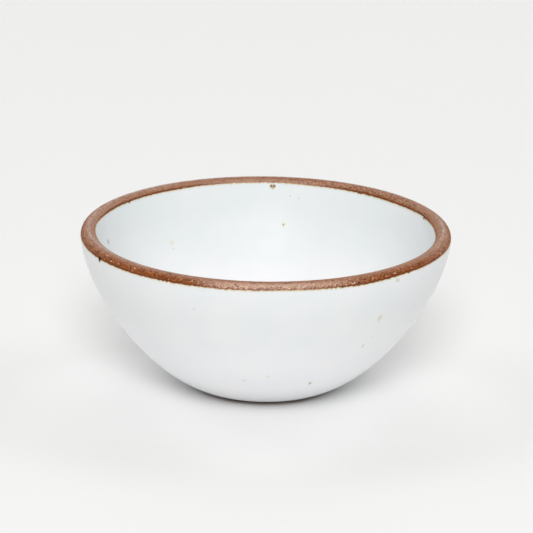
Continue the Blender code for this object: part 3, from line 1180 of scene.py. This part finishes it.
def makeGrains():
    grains = clayGrains
    draw = random.Random(grains["seed"])
    pale = paleSpots(draw)
    shape = bmesh.new()
    for index, (place, normal, radius) in enumerate(pale + burntSpots()):
        burnt = index >= len(pale)
        angle = draw.uniform(0, math.tau)
        axis = Vector((draw.random(), draw.random(), 1)).normalized()
        turned = Matrix.Rotation(angle, 4, axis)
        flat = Matrix.Diagonal((1, draw.uniform(*grains["flatness"]), draw.uniform(*grains["flatness"]), 1))
        sink = grains["burntSink"] if burnt else grains["sink"]
        seat = Matrix.Translation(place - normal * radius * sink)
        if burnt:
            seat = seat @ Matrix.Scale(grains["burntHeight"], 4, normal)
        ball = bmesh.ops.create_icosphere(shape, subdivisions=grains["subdivisions"], radius=radius,
                                          matrix=seat @ turned @ flat)
        for corner in ball["verts"]:
            for face in corner.link_faces:
                face.material_index = int(burnt)
    piece = linkShape("clayGrains", shape)
    piece.data.shade_smooth()
    for name, (first, second, tones, roughness, specular) in grains["finishes"].items():
        material, tree, shader, place = startMaterial(name)
        colour = mixColour(tree, mottle(tree, place, tones), first, second)
        tree.links.new(colour, shader.inputs["Base Color"])
        shader.inputs["Roughness"].default_value = roughness
        shader.inputs["Specular IOR Level"].default_value = specular
        piece.data.materials.append(material)
    return piece


grainPiece = makeGrains()
makeClay("bareClay", clayPiece)
makeGlaze("glazeInside", innerPiece, insideSpecks, glazeLook["inside"], glazeLook["insideRoughness"])
makeGlaze("glazeOutside", outerPiece, outsideSpecks, glazeLook["outside"], glazeLook["outsideRoughness"])
print("materials made:", sorted(m.name for m in bpy.data.materials))

for piece, node, slotName in ((clayPiece, "stoneware_body", "stoneware"),
                              (grainPiece, "stoneware_body", "stoneware"),
                              (innerPiece, "inner_glaze", "glaze"),
                              (outerPiece, "outer_glaze", "glaze")):
    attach(piece, "root")
    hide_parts(node)


# pale floor and soft studio light
studio = {
    "floorSize": 9.0,
    "floorColour": (0.893, 0.889, 0.882, 1),
    "floorRoughness": 0.6,
    "floorSpecular": 0.05,
    "worldStrength": 0.235,
    "worldSeen": 0.88,
    "worldColour": (1.0, 1.0, 1.0, 1),
    "lampDistance": 6.0,
    "lamps": {                # where it stands as azimuth and elevation in degrees, size, power
        "frontBox": (0, 40, 2.4, 166.0),
        "frontLow": (0, 30, 2.4, 76.0),
        "backBox": (180, 45, 3.3, 60.0),
        "topBox": (0, 88, 3.0, 12.0),
        "leftBack": (-114, 42, 2.8, 52.0),
        "rightBack": (114, 42, 2.8, 54.0),
        "leftSide": (-80, 27, 2.8, 19.0),
        "rightSide": (80, 27, 2.8, 24.0),
    },
}


def makeFloor():
    shape = bmesh.new()
    bmesh.ops.create_grid(shape, x_segments=1, y_segments=1, size=studio["floorSize"])
    floor = linkShape("floor", shape)
    material = bpy.data.materials.new("paleFloor")
    material.use_nodes = True
    shader = material.node_tree.nodes["Principled BSDF"]
    shader.inputs["Base Color"].default_value = studio["floorColour"]
    shader.inputs["Roughness"].default_value = studio["floorRoughness"]
    shader.inputs["Specular IOR Level"].default_value = studio["floorSpecular"]
    floor.data.materials.append(material)


def makeLamps():
    target = Vector((0, 0, bowlForm["height"] / 2))
    for name, (azimuth, elevation, size, power) in studio["lamps"].items():
        lamp = bpy.data.lights.new(name, "AREA")
        lamp.shape = "SQUARE"
        lamp.size = size
        lamp.energy = power
        holder = linkObject(name, lamp)
        turn, lift = math.radians(azimuth), math.radians(elevation)
        back = Vector((math.sin(turn) * math.cos(lift), -math.cos(turn) * math.cos(lift), math.sin(lift)))
        holder.location = target + back * studio["lampDistance"]
        holder.rotation_euler = back.to_track_quat("Z", "Y").to_euler()


def makeWorld():  # what the camera and the gloss see of it is paler than the light it gives
    world = bpy.data.worlds.new("studioWorld")
    world.use_nodes = True
    tree = world.node_tree
    background = tree.nodes["Background"]
    rays = addNode(tree, "ShaderNodeLightPath").outputs
    seen = mathNode(tree, "MAXIMUM", rays["Is Camera Ray"], rays["Is Glossy Ray"])
    seen = mathNode(tree, "MAXIMUM", seen, rays["Is Transmission Ray"])
    strength = addNode(tree, "ShaderNodeMapRange", {"Value": seen, "To Min": studio["worldStrength"],
                                                    "To Max": studio["worldSeen"]}).outputs["Result"]
    background.inputs["Color"].default_value = studio["worldColour"]
    tree.links.new(strength, background.inputs["Strength"])
    bpy.context.scene.world = world


makeFloor()
makeLamps()
makeWorld()
bpy.context.scene.view_settings.view_transform = "Standard"
print("studio ready")
